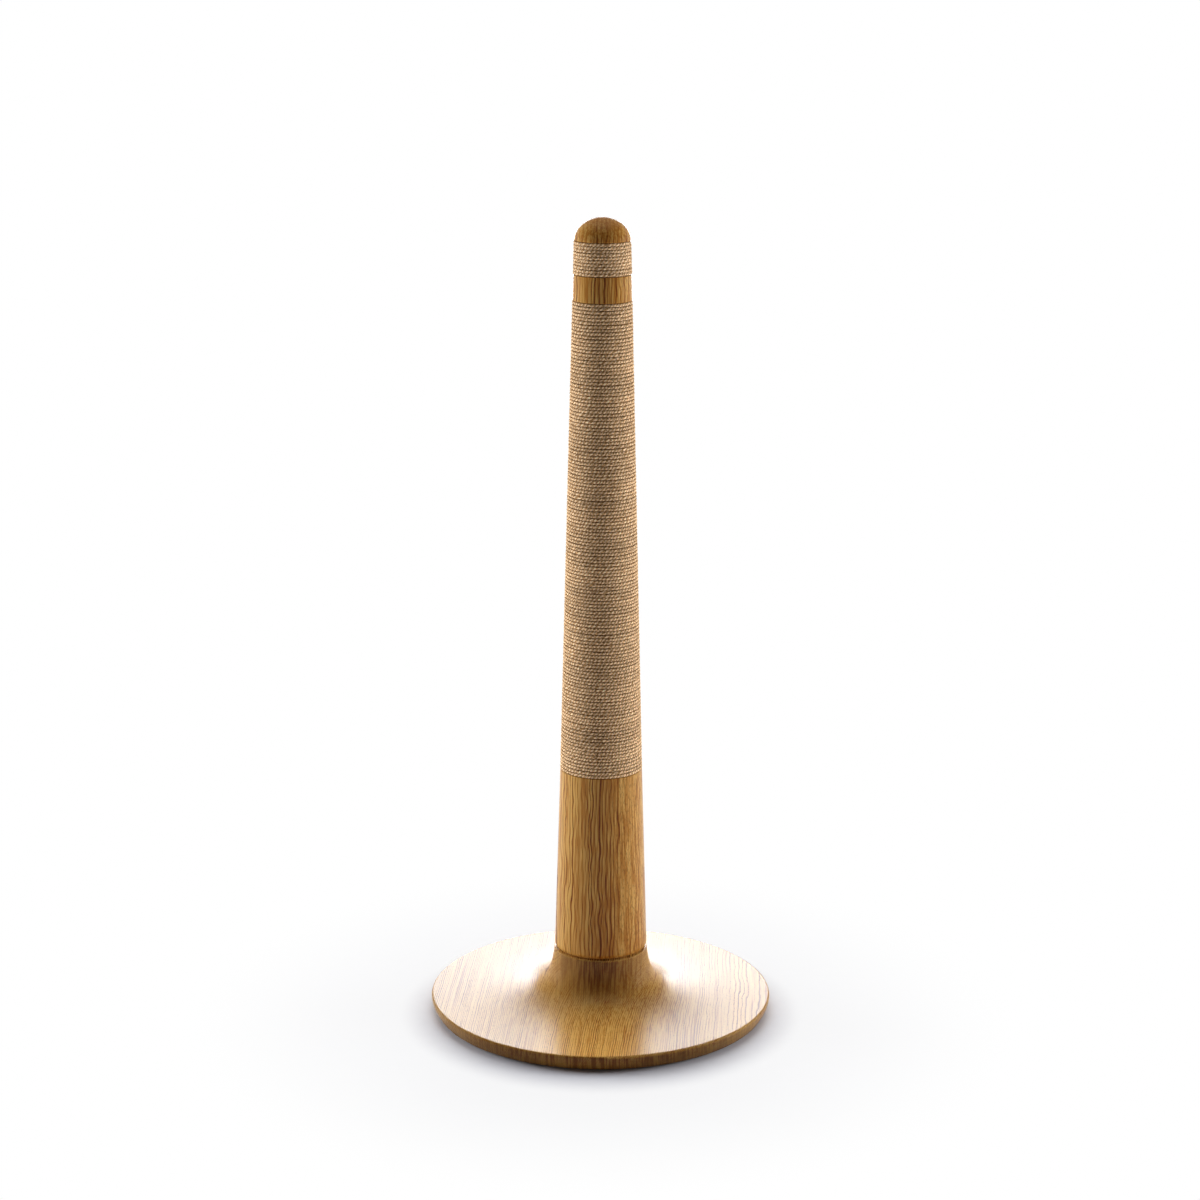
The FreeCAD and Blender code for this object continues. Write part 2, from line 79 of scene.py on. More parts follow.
def vector_calc(tree, operation, *values):
    """The result of an operation on vectors."""
    node = add(tree, "ShaderNodeVectorMath", dict(enumerate(values)), operation=operation)
    return node.outputs["Value" if operation in ("LENGTH", "DOT_PRODUCT") else "Vector"]


def total(tree, first, *others):
    """The sum of several values."""
    for other in others:
        first = calc(tree, "ADD", first, other)
    return first


def ramp(tree, value, low, high, from_low=0.0, from_high=1.0):
    """The value brought smoothly from one range to another, and held at its ends."""
    inputs = {"Value": value, "From Min": from_low, "From Max": from_high, "To Min": low, "To Max": high}
    return add(tree, "ShaderNodeMapRange", inputs, interpolation_type="SMOOTHSTEP").outputs[0]


def swing(tree, value, reach, from_low=0.3, from_high=0.7):
    """The value brought smoothly to between -reach and reach. Most noise is between 0.3 and 0.7."""
    return ramp(tree, value, -reach, reach, from_low, from_high)


def noise(tree, place, stretch, detail=2.0, output="Fac"):
    """Noise whose grains are about one unit long, after the place is multiplied by stretch."""
    vector = vector_calc(tree, "MULTIPLY", place, stretch)
    inputs = {"Vector": vector, "Scale": 1.0, "Detail": detail}
    return add(tree, "ShaderNodeTexNoise", inputs).outputs[output]


def blend(tree, share, first, second, blend_type="MIX"):
    """Two colours mixed by a share. The numbers are those of a Mix node's sockets for colours."""
    inputs = {0: share, 6: first, 7: second}
    return add(tree, "ShaderNodeMix", inputs, data_type="RGBA", blend_type=blend_type).outputs[2]


def grey(tree, value):
    """A number as a colour."""
    return add(tree, "ShaderNodeCombineColor", {0: value, 1: value, 2: value}).outputs[0]


def new_material(name, **constants):
    """A material with a Principled shader whose inputs have these constant values."""
    material = bpy.data.materials.new(name)
    material.use_nodes = True
    tree = material.node_tree
    shader = tree.nodes["Principled BSDF"]
    for key, setting in constants.items():
        shader.inputs[key.replace("_", " ")].default_value = setting
    return material, tree, shader


def object_place(tree, turn=(0.0, 0.0, 0.0)):
    """The place on the object in millimetres, turned by angles that lay a wood's grain along Z."""
    place = add(tree, "ShaderNodeTexCoord").outputs["Object"]
    inputs = {"Vector": place, "Rotation": turn, "Scale": (1 / MM,) * 3}
    return add(tree, "ShaderNodeMapping", inputs).outputs[0]


def bump(tree, shader, height, distance, strength):
    """Makes the surface look uneven, by a height that is multiplied by the distance."""
    inputs = {"Height": height, "Distance": distance, "Strength": strength}
    node = add(tree, "ShaderNodeBump", inputs)
    tree.links.new(node.outputs[0], shader.inputs["Normal"])


# Oak


# The wood from pale to dark, its pores, and what it looks like cut across its grain
PALE = (0.78, 0.45, 0.12, 1)
GOLD = (0.51, 0.2, 0.03, 1)
BROWN = (0.2, 0.047, 0.003, 1)
PORE = (0.12, 0.027, 0.002, 1)
END_GRAIN = (0.135, 0.031, 0.001, 1)
# Grains of noise per millimetre, in two directions across the wood's grain and then along it
SWAY_STRETCH = (0.018, 0.018, 0.004)
RIPPLE_STRETCH = (0.036, 0.036, 0.026)
FIBRE_STRETCH = (0.95, 0.95, 0.005)
STREAK_STRETCH = (0.4, 0.4, 0.005)
BROAD_STRETCH = (0.03, 0.03, 0.004)
PORE_STRETCH = (0.9, 0.9, 0.2)
STRIPE_STRETCH = (0.5, 0.03, 0.02)
# How much the rings differ in width, in rings, and grains of that noise per millimetre from the pith
RING_SPREAD, RING_GRAINS = 1.4, 0.12
# Where in a ring, from 0 to 1, its dark wood is full, starts to fade and has faded
RING_FULL, RING_FADING, RING_FADED = 0.05, 0.1, 0.5
# How dark the palest ring is, next to the darkest
PALEST_RING = 0.4
# How far the fibres, streaks, broad patches and rings go from pale, 0, to brown, 1. The level is added to
# all of the wood, so that the rings don't darken it as a whole
FIBRE_TONE, STREAK_TONE, BROAD_TONE = 0.24, 0.14, 0.1
RING_TONE, RING_LEVEL = 0.95, -0.21
# What is added before the dark zone and in it, and what is taken off again beyond it
ZONE_BEFORE, ZONE_WITHIN, ZONE_DROP = -0.05, 0.08, 0.04
# How much of the rings is left beyond the dark zone, and how many pores are outside the rings' dark wood:
# where there is no dark zone, up to its end, and beyond it
ZONE_RINGS = 0.4
PORES_PLAIN, PORES_ZONE, PORES_BEYOND = 0.25, 0.05, 0.6
# The noise where a pore starts and where it is full, and how far it goes to its colour
PORE_START, PORE_FULL = 0.54, 0.62
PORE_SHARE = 0.75
# How soon a surface that turns to face along the grain counts as cut across it, and how much of the lines
# is lost there
END_POWER = 0.75
LINES_LOST = 0.7
# The noise between stripes of end grain and on them, and how dark it is between them, next to on them
BETWEEN_STRIPES, ON_STRIPES = 0.4, 0.6
PALEST_STRIPE = 0.7
# Oiled wood shines faintly, and its pores less than the rest
OIL_IOR = 1.26
WOOD_ROUGHNESS, PORE_ROUGHNESS = 0.3, 0.5
FIBRE_HEIGHT, PORE_DEPTH = 0.25, 0.75
# How far apart in the log boards are cut, in millimetres, in the order of the stretches above
BOARD_SHIFT = (12, 8, 300)
# How bright the wood is in the middle of all the boards and out at the sides, how far from the middle, in
# millimetres, that change starts and ends, and how much each board differs
MIDDLE_TONE, SIDE_TONE = 1.0, 0.7
MIDDLE_EDGE, SIDE_EDGE = 20, 105
BOARD_SPREAD = 0.04


def chance_of(tree, number):
    """Random outputs that belong to a whole number."""
    return add(tree, "ShaderNodeTexWhiteNoise", {"W": number}, noise_dimensions="1D").outputs


def into_boards(tree, place, width, first):
    """The place moved as if boards of a width, side by side, had been cut from different spots, and how
    bright the wood is: a little different in each board, and darker away from the middle of them all."""
    across = add(tree, "ShaderNodeSeparateXYZ", {0: place}).outputs["X"]
    number = calc(tree, "FLOOR", calc(tree, "DIVIDE", calc(tree, "SUBTRACT", across, first), width))
    chance = chance_of(tree, number)
    moved = vector_calc(tree, "MULTIPLY_ADD", chance["Color"], BOARD_SHIFT, place)
    from_middle = calc(tree, "ABSOLUTE", across)
    tone = ramp(tree, from_middle, MIDDLE_TONE, SIDE_TONE, MIDDLE_EDGE, SIDE_EDGE)
    return moved, calc(tree, "ADD", tone, swing(tree, chance["Value"], BOARD_SPREAD, 0, 1))


def growth_rings(tree, place, pith, ring_width, wander):
    """How much of the dark porous wood that starts each growth ring is at a place, and the distance from
    the pith, a line along the grain. The rings lie round it, wander by some millimetres, and differ in
    width and darkness."""
    sway = noise(tree, place, SWAY_STRETCH, output="Color")
    offset = (-pith[0] - wander / 2, -pith[1] - wander / 2, 0)
    sway = vector_calc(tree, "MULTIPLY_ADD", sway, (wander,) * 3, offset)
    from_pith = vector_calc(tree, "MULTIPLY", vector_calc(tree, "ADD", place, sway), (1, 1, 0))
    ripple = swing(tree, noise(tree, place, RIPPLE_STRETCH, detail=1.0), wander / 2, 0.25, 0.75)
    distance = calc(tree, "ADD", vector_calc(tree, "LENGTH", from_pith), ripple)
    inputs = {"W": distance, "Scale": RING_GRAINS}
    uneven = add(tree, "ShaderNodeTexNoise", inputs, noise_dimensions="1D").outputs[0]
    ring = calc(tree, "MULTIPLY_ADD", uneven, RING_SPREAD, calc(tree, "DIVIDE", distance, ring_width))
    part = calc(tree, "FRACT", ring)
    rise = ramp(tree, part, 0, 1, 0.0, RING_FULL)
    fall = ramp(tree, part, 1, 0, RING_FADING, RING_FADED)
    depth = ramp(tree, chance_of(tree, calc(tree, "FLOOR", ring))["Value"], PALEST_RING, 1)
    return calc(tree, "MULTIPLY", calc(tree, "MULTIPLY", rise, fall), depth), distance


def oak(name, turn, grain, pith, ring_width, wander, middle, end_share, dark_zone=None, board=None):
    """Oiled oak whose grain runs along a direction, from one log or from boards of a width and a first
    edge. middle is where its middling wood lies between pale and brown, and end_share how far its end
    grain goes to the end grain's colour. dark_zone is four distances from the pith: the wood gets darker
    between the first two, and between the last two it gets paler, with fainter rings and more pores."""
    material, tree, shader = new_material(name, IOR=OIL_IOR)
    place = object_place(tree, turn)
    board_tone = None
    if board:
        place, board_tone = into_boards(tree, place, *board)
    early, distance = growth_rings(tree, place, pith, ring_width, wander)
    # Wood cut across its grain takes up more finish and is darker, and its lines are fainter
    normal = add(tree, "ShaderNodeTexCoord").outputs["Normal"]
    across = calc(tree, "ABSOLUTE", vector_calc(tree, "DOT_PRODUCT", normal, grain))
    ends = calc(tree, "POWER", across, END_POWER)
    along = calc(tree, "MULTIPLY_ADD", ends, -LINES_LOST, 1.0)
    early = calc(tree, "MULTIPLY", early, along)
    speckled = PORES_PLAIN
    if dark_zone:
        speckled = ramp(tree, distance, PORES_ZONE, PORES_BEYOND, *dark_zone[2:])
        early = calc(tree, "MULTIPLY", early, ramp(tree, distance, 1.0, ZONE_RINGS, *dark_zone[2:]))
    pores = ramp(tree, noise(tree, place, PORE_STRETCH, detail=1.0), 0, 1, PORE_START, PORE_FULL)
    porous = calc(tree, "MAXIMUM", ramp(tree, early, 0.0, 1.0, 0.2, 0.8), speckled)
    pores = calc(tree, "MULTIPLY", calc(tree, "MULTIPLY", pores, porous), along)
    fibre = noise(tree, place, FIBRE_STRETCH, detail=1.0)
    marks = [
        calc(tree, "MULTIPLY", swing(tree, fibre, FIBRE_TONE, 0.34, 0.66), along),
        calc(tree, "MULTIPLY_ADD", early, RING_TONE, RING_LEVEL),
        swing(tree, noise(tree, place, STREAK_STRETCH), STREAK_TONE),
        swing(tree, noise(tree, place, BROAD_STRETCH, detail=3.0), BROAD_TONE),
    ]
    if dark_zone:
        marks.append(ramp(tree, distance, ZONE_BEFORE, ZONE_WITHIN, *dark_zone[:2]))
        marks.append(ramp(tree, distance, 0, -ZONE_DROP, *dark_zone[2:]))
    dark = total(tree, *marks, middle)
    colour = blend(tree, ramp(tree, dark, 0, 1, 0.0, 0.5), PALE, GOLD)
    colour = blend(tree, ramp(tree, dark, 0, 1, 0.5, 1.0), colour, BROWN)
    colour = blend(tree, calc(tree, "MULTIPLY", pores, PORE_SHARE), colour, PORE)
    striped = noise(tree, place, STRIPE_STRETCH)
    palest = PALEST_STRIPE * end_share
    stripes = ramp(tree, striped, palest, end_share, BETWEEN_STRIPES, ON_STRIPES)
    colour = blend(tree, calc(tree, "MULTIPLY", ends, stripes), colour, END_GRAIN)
    if board:
        colour = blend(tree, 1.0, colour, grey(tree, board_tone), "MULTIPLY")
    tree.links.new(colour, shader.inputs["Base Color"])
    roughness = ramp(tree, pores, WOOD_ROUGHNESS, PORE_ROUGHNESS)
    tree.links.new(roughness, shader.inputs["Roughness"])
    sunk = calc(tree, "MULTIPLY", pores, PORE_DEPTH)
    height = calc(tree, "SUBTRACT", calc(tree, "MULTIPLY", fibre, FIBRE_HEIGHT), sunk)
    bump(tree, shader, height, distance=0.15 * MM, strength=0.5)
    return material


# The post is from one log, whose pith is to the left of it
post_oak = oak(
    "post_oak", turn=(0, 0, 0), grain=(0, 0, 1), pith=(-182, 0), ring_width=4.2, wander=4.0,
    middle=0.41, end_share=0.36, dark_zone=(155, 175, 192, 215),
)
# The base is from boards that run from front to back, a little slanted
BASE_GRAIN_SLANT = math.radians(3.4)
BASE_BOARD, BASE_BOARD_EDGE = 109, -61
base_oak = oak(
    "base_oak", turn=(math.pi / 2, -BASE_GRAIN_SLANT, 0), grain=(0, 1, 0), pith=(240, 150),
    ring_width=1.9, wander=1.0, middle=0.23, end_share=0.95, board=(BASE_BOARD, BASE_BOARD_EDGE),
)


# Metal, rubber and beech


ROUGHNESS_SPREAD = 0.1


def plain_finish(name, colour, spread, stretch, roughness, **constants):
    """A finish whose colour and roughness vary a little with noise."""
    material, tree, shader = new_material(name, **constants)
    grain = noise(tree, object_place(tree), stretch, detail=4.0)
    tone = grey(tree, ramp(tree, grain, 1 - spread, 1 + spread, 0.25, 0.75))
    tree.links.new(blend(tree, 1.0, (*colour, 1), tone, "MULTIPLY"), shader.inputs["Base Color"])
    rough = ramp(tree, grain, roughness - ROUGHNESS_SPREAD, roughness + ROUGHNESS_SPREAD)
    tree.links.new(rough, shader.inputs["Roughness"])
    bump(tree, shader, grain, distance=0.1 * MM, strength=0.4)
    return material


finishes = {
    "oak": post_oak,
    "zinc_steel": plain_finish(
        "zinc_steel", (0.56, 0.57, 0.59), spread=0.12, stretch=(0.6, 0.6, 0.6), roughness=0.35,
        Metallic=1.0,
    ),
    "ballast_steel": plain_finish(
        "ballast_steel", (0.03, 0.03, 0.033), spread=0.3, stretch=(1.4, 1.4, 1.4), roughness=0.6
    ),
    "rubber": plain_finish(
        "rubber", (0.02, 0.02, 0.02), spread=0.3, stretch=(2.0, 2.0, 2.0), roughness=0.75
    ),
    "beech": plain_finish(
        "beech", (0.5, 0.31, 0.16), spread=0.15, stretch=(2.0, 2.0, 0.1), roughness=0.55
    ),
}
for subpart in frame["record"]["subparts"]:
    if subpart["material_slot"] in finishes:
        mesh = frame["nodes"][subpart["node"]].data
        mesh.materials.clear()
        mesh.materials.append(finishes[subpart["material_slot"]])
frame["nodes"]["base"].data.materials[0] = base_oak


# Cord


# The cord's colours: beside its strands' crests and on them, which paints shade and light on the strands,
# in
# # its dark flecks, and where turns touch, which is painted shade
CORD_FLANK_SHADE = (0.56, 0.315, 0.13, 1)
CORD_CREST_LIGHT = (0.93, 0.68, 0.42, 1)
CORD_FLECK = (0.27, 0.115, 0.028, 1)
CORD_GROOVE_SHADE = (0.14, 0.05, 0.007, 1)
# Grains of noise per millimetre along the cord, and per radian round it
UNEVEN_STRETCH = (0.02, 0.3, 1.0)
HAIR_STRETCH = (0.25, 4.0, 1.0)
# Grains of noise per millimetre of the whole winding: flecks, and bands that go round the post
FLECK_STRETCH = (0.55, 0.55, 0.8)
BAND_STRETCH = (0.004, 0.004, 0.05)
# The tone's least and most where the cord is uneven, and how far hairs, bands and pale flecks change it
UNEVEN_LOW, UNEVEN_HIGH = 0.95, 1.2
HAIR_TONE, BAND_TONE, PALE_FLECK_TONE = 0.12, 0.1, 0.6
# The noise where dark flecks are full and where they end, and where pale ones start and are full
DARK_FLECK_FULL, DARK_FLECK_END = 0.33, 0.54
PALE_FLECK_START, PALE_FLECK_FULL = 0.45, 0.67
DARK_FLECK_SHARE = 0.75


def cord_material():
    """Twisted plant fibre, uneven along the cord, with painted light on the strands' crests, painted shade
    between them and painted shade where the turns touch.
    """
    material, tree, shader = new_material("cord", Roughness=0.9)
    shader.inputs["Specular IOR Level"].default_value = 0.0
    crest = add(tree, "ShaderNodeAttribute", attribute_name="crest").outputs["Fac"]
    shade = add(tree, "ShaderNodeAttribute", attribute_name="shade").outputs["Fac"]
    run = add(tree, "ShaderNodeAttribute", attribute_name="run").outputs["Vector"]
    uneven = noise(tree, run, UNEVEN_STRETCH, detail=3.0)
    hairs = noise(tree, run, HAIR_STRETCH)
    flecks = noise(tree, object_place(tree), FLECK_STRETCH)
    bands = noise(tree, object_place(tree), BAND_STRETCH)
    # Painted light on the strands' crests and painted shade on their flanks
    colour = blend(tree, ramp(tree, crest, 0.0, 1.0), CORD_FLANK_SHADE, CORD_CREST_LIGHT)
    dark_flecks = ramp(tree, flecks, DARK_FLECK_SHARE, 0.0, DARK_FLECK_FULL, DARK_FLECK_END)
    colour = blend(tree, dark_flecks, colour, CORD_FLECK)
    # Painted shade where the turns touch their neighbours
    colour = blend(tree, shade, CORD_GROOVE_SHADE, colour)
    tone = total(
        tree,
        ramp(tree, uneven, UNEVEN_LOW, UNEVEN_HIGH, 0.3, 0.7),
        swing(tree, hairs, HAIR_TONE),
        ramp(tree, flecks, 0.0, PALE_FLECK_TONE, PALE_FLECK_START, PALE_FLECK_FULL),
        swing(tree, bands, BAND_TONE),
    )
    tree.links.new(blend(tree, 1.0, colour, grey(tree, tone), "MULTIPLY"), shader.inputs["Base Color"])
    bump(tree, shader, hairs, distance=0.15 * MM, strength=0.6)
    return material


# The wood's outline tapers evenly from the lower end of the main winding to the upper end of the top one
SHOULDER_CLEARANCE = 0.2 * MM
TAPER_LOW_RADIUS, TAPER_HIGH_RADIUS = 47.5 * MM, 32.0 * MM
main_low, main_high = (corner.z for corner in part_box("main_winding"))
top_low, top_high = (corner.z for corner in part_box("top_winding"))
taper_low, taper_high = main_low - SHOULDER_CLEARANCE, top_high + SHOULDER_CLEARANCE
# The cord is a little flattened, and squared by its neighbours. It sits in seats sunk into the wood
CORD_DEPTH = 3.4 * MM
CORD_HEIGHT = 3.9 * MM
CORD_PROUD = 0.1 * MM
SQUARENESS = 0.85
# Its strands make one turn in each lay. The twist is off by up to the slack, in radians, which changes
# over the drift. The lobes stand out by a share of the cord's section
STRANDS = 2
LAY = 8.6 * MM
LAY_SLACK = 2.2
LAY_DRIFT = 14 * MM
LOBE = 0.06
# Angles round the cord's section, from the way out of the post. The inner side is drawn with fewer
SECTION = np.radians([-90, -60, -30, 0, 30, 60, 90, 135, 225])
SIDES = len(SECTION)
# How dark the painted shade is where the cord touches its neighbours, how much that differs along it and
# over
# # what drift, and how steeply the painted shade sets in
GROOVE_SHADE, GROOVE_SPREAD = 0.88, 0.12
GROOVE_DRIFT = 30 * MM
GROOVE_POWER = 3
# The length of cord from one ring of vertices to the next
RING_STEP = 0.98 * MM
# How far a turn is off its place, and how often in a turn that changes, up and down and in and out
TURN_JITTER = 0.16 * MM
LEVEL_CHANGES, RADIUS_CHANGES = 3, 2
# The part of each turn, in degrees, in which the cord climbs to the next
CLIMB_ANGLE = 90
# The ends of the cord bend into the wood, and have this share of its thickness there
TAIL_BEND = 4.2 * MM
TAIL_STRAIGHT = 6 * MM
TAIL_THINNING = 0.8
BEND_POINTS, STRAIGHT_POINTS = 8, 6
# The free space between the rows of the bake map, as a share of the cord's height in it, and the spot in
# the map for the cord's cut ends
ROW_SPARE = 0.1
CAP_SPOT = 0.999


def centre_radius(level):
    """How far the middle of the cord is from the axis at a level."""
    share = (level - taper_low) / (taper_high - taper_low)
    line = TAPER_LOW_RADIUS + (TAPER_HIGH_RADIUS - TAPER_LOW_RADIUS) * share
    return line + CORD_PROUD - CORD_DEPTH / 2


def eased(share):
    """A share from 0 to 1 that starts and ends slowly."""
    return share * share * (3 - 2 * share)


def smooth_chance(count, knots):
    """Smooth random values along a row of this many points, from -1 to 1."""
    values = random.uniform(-1, 1, knots + 1)
    at = np.linspace(0, knots, count)
    low = np.minimum(at.astype(int), knots - 1)
    share = eased(at - low)
    return values[low] * (1 - share) + values[low + 1] * share


def tail(point, way):
    """From the end of a turn, a quarter bend towards the axis and a short straight run into the wood."""
    inward = np.array([-point[0], -point[1], 0.0])
    inward /= np.linalg.norm(inward)
    centre = point + inward * TAIL_BEND
    bend = np.linspace(0, math.pi / 2, BEND_POINTS + 1)[1:, None]
    arc = centre - inward * TAIL_BEND * np.cos(bend) + way * TAIL_BEND * np.sin(bend)
    straight = arc[-1] + inward * np.linspace(0, TAIL_STRAIGHT, STRAIGHT_POINTS + 1)[1:, None]
    return np.vstack([arc, straight])


def winding_path(low, high, turns, first_angle, drift):
    """Evenly spaced points along the middle of a wound cord, and how far along it each is. A turn lies
    level and then climbs, and the place of the climb moves round the post by the drift, in degrees, from
    turn to turn."""
    whole = 360 + drift
    angle = np.arange(0, turns * whole - CLIMB_ANGLE, 1.0)
    number = np.floor(angle / whole)
    climb = np.clip((angle - number * whole - (whole - CLIMB_ANGLE)) / CLIMB_ANGLE, 0, 1)
    step = (high - low - CORD_HEIGHT) / (turns - 1)
    height = number + eased(climb)
    loose = np.clip(np.minimum(height, turns - 1 - height), 0, 1)
    level = low + CORD_HEIGHT / 2 + step * height
    level += TURN_JITTER * loose * smooth_chance(len(angle), turns * LEVEL_CHANGES)
    radius = centre_radius(level) + TURN_JITTER * smooth_chance(len(angle), turns * RADIUS_CHANGES)
    turn = np.radians(angle + first_angle)
    points = np.stack([radius * np.cos(turn), radius * np.sin(turn), level], 1)
    first_way = np.array([math.sin(turn[0]), -math.cos(turn[0]), 0])
    last_way = np.array([-math.sin(turn[-1]), math.cos(turn[-1]), 0])
    points = np.vstack([tail(points[0], first_way)[::-1], points, tail(points[-1], last_way)])
    run = np.concatenate([[0], np.cumsum(np.linalg.norm(np.diff(points, axis=0), axis=1))])
    count = round(run[-1] / RING_STEP)
    even = np.linspace(0, run[-1], count)
    return np.stack([np.interp(even, run, points[:, axis]) for axis in range(3)], 1), even


def squared(part):
    """A sine or cosine bent so that the circle it draws comes closer to a square."""
    return np.sign(part) * np.abs(part) ** SQUARENESS


def cord_surface(points, swell):
    """The places of the cord's rings of vertices, one ring at each point."""
    ways = np.gradient(points, axis=0)
    ways /= np.linalg.norm(ways, axis=1)[:, None]
    up = np.array([0, 0, 1.0]) - ways * ways[:, 2:]
    up /= np.linalg.norm(up, axis=1)[:, None]
    out = np.cross(ways, up)
    offset = up[:, None] * (swell * squared(np.sin(SECTION)) * CORD_HEIGHT / 2)[..., None]
    offset += out[:, None] * (swell * squared(np.cos(SECTION)) * CORD_DEPTH / 2)[..., None]
    return (points[:, None] + offset).reshape(-1, 3)


def tube_mesh(name, vertices):
    """A closed tube through rings of vertices, with a face across each end."""
    rings = len(vertices) // SIDES
    first = np.arange(rings - 1)[:, None] * SIDES
    side = np.arange(SIDES)
    after = (side + 1) % SIDES
    corners = (first + side, first + after, first + SIDES + after, first + SIDES + side)
    quads = np.stack(corners, 2).reshape(-1, 4)
    caps = np.concatenate([side[::-1], (rings - 1) * SIDES + side])
    starts = np.concatenate([np.arange(len(quads)) * 4, quads.size + np.array([0, SIDES])])
    mesh = bpy.data.meshes.new(name)
    mesh.vertices.add(len(vertices))
    mesh.vertices.foreach_set("co", vertices.astype(np.float32).ravel())
    mesh.loops.add(quads.size + len(caps))
    mesh.loops.foreach_set("vertex_index", np.concatenate([quads.ravel(), caps]).astype(np.int32))
    mesh.polygons.add(len(starts))
    mesh.polygons.foreach_set("loop_start", starts.astype(np.int32))
    mesh.polygons.foreach_set("use_smooth", np.ones(len(starts), bool))
    return mesh


def add_attribute(mesh, name, kind, field, values):
    """Values on the mesh's vertices that the cord's material reads by this name."""
    layer = mesh.attributes.new(name, kind, "POINT")
    layer.data.foreach_set(field, values.astype(np.float32).ravel())


def add_bake_map(mesh, rings, length):
    """A bake map with rows of cord, each as long as the map is wide."""
    rows = math.ceil(math.sqrt(length / (math.pi * CORD_HEIGHT)))
    per_row = math.ceil(rings / rows)
    number = np.arange(rings - 1)
    left = (number % per_row) / per_row
    bottom = (number // per_row) / rows
    across = np.array([0, 0, 1, 1]) / per_row
    upward = (np.arange(SIDES)[:, None] + np.array([0, 1, 1, 0])) / (SIDES * (1 + ROW_SPARE) * rows)
    u = np.broadcast_to(left[:, None, None] + across, (rings - 1, SIDES, 4))
    v = bottom[:, None, None] + upward
    tube_places = np.stack([u, v], 3).reshape(-1, 2)
    cap_places = np.full((2 * SIDES, 2), CAP_SPOT)
    layer = mesh.uv_layers.new(name="OFBake")
    layer.uv.foreach_set("vector", np.vstack([tube_places, cap_places]).astype(np.float32).ravel())


def cord_piece(name, points, run, whole_run):
    """A stretch of twisted cord along the points. run is how far along the whole cord each of them is."""
    rings, length = len(points), run[-1] - run[0]
    slack = LAY_SLACK * smooth_chance(rings, round(length / LAY_DRIFT))
    twist = run * (2 * math.pi / LAY) + slack
    # crest shapes the strands' lobes, and the material paints light on their crests and shade beside them
    # from it
    crest = np.cos(STRANDS * (SECTION - twist[:, None]))
    from_end = np.minimum(run, whole_run - run)
    thin = TAIL_THINNING + (1 - TAIL_THINNING) * np.clip((from_end - TAIL_STRAIGHT) / TAIL_BEND, 0, 1)
    mesh = tube_mesh(name, cord_surface(points, thin[:, None] * (1 + LOBE * crest)))
    # Painted shade at the top and bottom of the section, where the turns touch, deeper in some stretches
    depth = GROOVE_SHADE + GROOVE_SPREAD * smooth_chance(rings, round(length / GROOVE_DRIFT))
    shade = 1 - depth[:, None] * np.abs(np.sin(SECTION)) ** GROOVE_POWER
    around = np.abs(SECTION - twist[:, None]).ravel()
    places = np.stack([np.repeat(run / MM, SIDES), around, np.zeros(rings * SIDES)], 1)
    add_attribute(mesh, "crest", "FLOAT", "value", (crest + 1) / 2)
    add_attribute(mesh, "shade", "FLOAT", "value", shade)
    add_attribute(mesh, "run", "FLOAT_VECTOR", "vector", places)
    add_bake_map(mesh, rings, length)
    mesh.update()
    mesh.validate()
    mesh.materials.append(cord_look)
    piece = bpy.data.objects.new(name, mesh)
    scene.collection.objects.link(piece)
    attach(piece, "root")
    return piece


cord_look = cord_material()
MAIN_TURNS, TOP_TURNS = 138, 10
# The angles round the post at which the windings start, and the drift of their climbs, in degrees
MAIN_START, TOP_START = 135, 68
MAIN_DRIFT, TOP_DRIFT = 0, 1.2
MAIN_STRETCHES = ("main_cord_1", "main_cord_2", "main_cord_3", "main_cord_4")
main_points, main_run = winding_path(main_low, main_high, MAIN_TURNS, MAIN_START, MAIN_DRIFT)
cuts = np.linspace(0, len(main_points) - 1, len(MAIN_STRETCHES) + 1).astype(int)
for name, start, end in zip(MAIN_STRETCHES, cuts[:-1], cuts[1:]):
    stretch = slice(start, end + 1)
    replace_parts(cord_piece(name, main_points[stretch], main_run[stretch], main_run[-1]), "main_winding")
top_points, top_run = winding_path(top_low, top_high, TOP_TURNS, TOP_START, TOP_DRIFT)
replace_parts(cord_piece("top_cord", top_points, top_run, top_run[-1]), "top_winding")
print(f"main cord {main_run[-1]:.1f} m, top cord {top_run[-1]:.2f} m")


# Floor, lamps, world and camera


FLOOR_RADIUS = 6
FLOOR_STRETCH = (60, 60, 60)
FLOOR_DARK, FLOOR_PALE = (0.66, 0.65, 0.68, 1), (0.68, 0.67, 0.7, 1)
# The floor fades to white round a spot in front of the axis, most of the way close to the base, and the
# # rest further out: the distances where each fade starts and ends, and its share. The grey left close to
# the
# # base, reaching furthest in front, is painted shade over the floor's real shadow
FADE_FORWARD = 0.02
FLOOR_FADES = ((0.186, 0.24, 0.82), (0.22, 0.5, 0.18))
# How bright the studio is in front of the object and above it, next to the white behind it
FRONT, ABOVE = 0.23, 0.08
COOL_WHITE = (0.92, 0.98, 1.07)


def seen_directly(tree):
    """1 for rays from the camera, from reflections and through glass, else 0."""
    path = add(tree, "ShaderNodeLightPath").outputs
    indirect = calc(tree, "MAXIMUM", path["Is Glossy Ray"], path["Is Transmission Ray"])
    return calc(tree, "MAXIMUM", path["Is Camera Ray"], indirect)


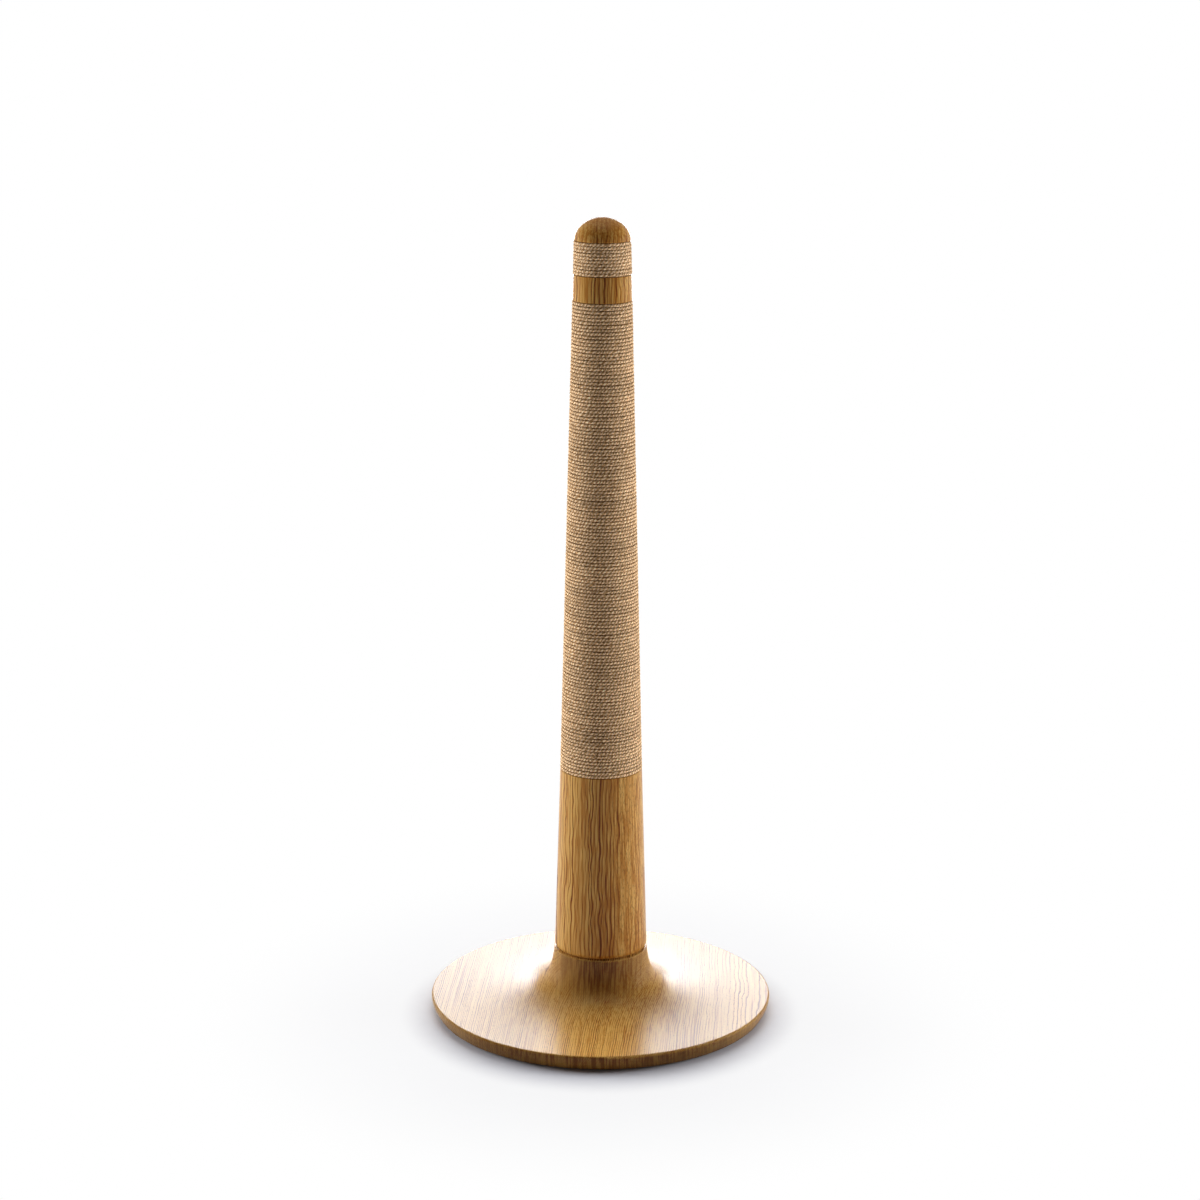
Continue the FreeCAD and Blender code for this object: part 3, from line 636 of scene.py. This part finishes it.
def make_floor():
    """A pale floor that takes the shadow, with painted shade in the grey close to the base, and fades to
    white away from the object.
    """
    bpy.ops.mesh.primitive_circle_add(vertices=128, radius=FLOOR_RADIUS, fill_type="NGON")
    floor = bpy.context.object
    floor.name = "floor"
    material, tree, shader = new_material("floor", Roughness=0.9)
    shader.inputs["Specular IOR Level"].default_value = 0.0
    place = add(tree, "ShaderNodeTexCoord").outputs["Object"]
    speck = noise(tree, place, FLOOR_STRETCH, detail=3.0)
    tint = blend(tree, ramp(tree, speck, 0, 1, 0.3, 0.7), FLOOR_DARK, FLOOR_PALE)
    tree.links.new(tint, shader.inputs["Base Color"])
    glow = add(tree, "ShaderNodeEmission", {"Strength": 1.0})
    # The grey left unfaded close to the base, most in front, is painted shade
    reach = vector_calc(tree, "LENGTH", vector_calc(tree, "ADD", place, (0, FADE_FORWARD, 0)))
    fades = [ramp(tree, reach, 0, share, start, end) for start, end, share in FLOOR_FADES]
    white = calc(tree, "MULTIPLY", total(tree, *fades), seen_directly(tree))
    mixed = add(tree, "ShaderNodeMixShader", {0: white, 1: shader.outputs[0], 2: glow.outputs[0]})
    tree.links.new(mixed.outputs[0], tree.nodes["Material Output"].inputs["Surface"])
    floor.data.materials.append(material)


def make_world():
    """A studio that is white behind the object, dimmer beside it and in front, and dark above. The camera
    sees plain white."""
    world = bpy.data.worlds.new("studio")
    scene.world = world
    world.use_nodes = True
    tree = world.node_tree
    way = add(tree, "ShaderNodeTexCoord").outputs["Generated"]
    part = add(tree, "ShaderNodeSeparateXYZ", {0: way}).outputs
    back = ramp(tree, part["Y"], 0.0, 1.0, -0.1, 0.5)
    low = ramp(tree, part["Z"], 1.0, ABOVE, 0.15, 0.45)
    studio = calc(tree, "MULTIPLY", calc(tree, "MULTIPLY_ADD", back, 1 - FRONT, FRONT), low)
    camera_ray = add(tree, "ShaderNodeLightPath").outputs["Is Camera Ray"]
    strength = calc(tree, "MAXIMUM", studio, camera_ray)
    tree.links.new(strength, tree.nodes["Background"].inputs["Strength"])
    tree.nodes["Background"].inputs["Color"].default_value = (1, 1, 1, 1)


def softbox(name, place, target, size, radiance, lights=True, reflected=False, colour=(1, 1, 1)):
    """A rectangular lamp that faces a target, with the width, height and radiance of its panel. It can be
    left out of what lights the surfaces, or out of what they reflect."""
    width, height = size
    lamp = bpy.data.lights.new(name, "AREA")
    lamp.color = colour
    lamp.shape = "RECTANGLE"
    lamp.size, lamp.size_y = width, height
    lamp.energy = radiance * math.pi * width * height
    holder = bpy.data.objects.new(name, lamp)
    holder.location = place
    holder.rotation_euler = (Vector(target) - Vector(place)).to_track_quat("-Z", "Y").to_euler()
    holder.visible_camera = False
    holder.visible_diffuse = lights
    holder.visible_glossy = reflected
    scene.collection.objects.link(holder)


def make_lamps():
    """Lamps above, behind and at both sides, and a reflector that only makes the oak's sheen."""
    softbox("overhead", place=(0, 0.6, 5.0), target=(0, 0, 0), size=(3.0, 3.0), radiance=2.6)
    softbox("sky", place=(0, 4.0, 4.4), target=(0, 0, 0), size=(6.0, 4.0), radiance=2.5)
    softbox(
        "reflector", place=(0, 2.1, 0.7), target=(0, 0, 0.7), size=(1.6, 0.86), radiance=10.2,
        lights=False, reflected=True, colour=COOL_WHITE,
    )
    for name, place, radiance in (("left", (-1.7, 0.4, 0.6), 8.8), ("right", (1.7, 0.15, 0.6), 7.4)):
        softbox(name, place, target=(0, 0, 0.5), size=(0.8, 1.2), radiance=radiance, colour=COOL_WHITE)


def make_camera():
    """The camera of the photograph: a little higher than the post, looking down on its middle."""
    pitch, roll = math.radians(14.0), math.radians(0.14)
    reach, aim = 3.0494, Vector((-0.0018, 0, 0.4945))
    camera = bpy.data.cameras.new("camera")
    camera.lens, camera.sensor_width = 79.95, 36.0
    holder = bpy.data.objects.new("camera", camera)
    back = Vector((0, -math.cos(pitch), math.sin(pitch)))
    turn = back.to_track_quat("Z", "Y").to_matrix() @ Matrix.Rotation(roll, 3, "Z")
    holder.matrix_world = Matrix.Translation(aim + back * reach) @ turn.to_4x4()
    scene.collection.objects.link(holder)
    scene.camera = holder


make_floor()
make_world()
make_lamps()
make_camera()
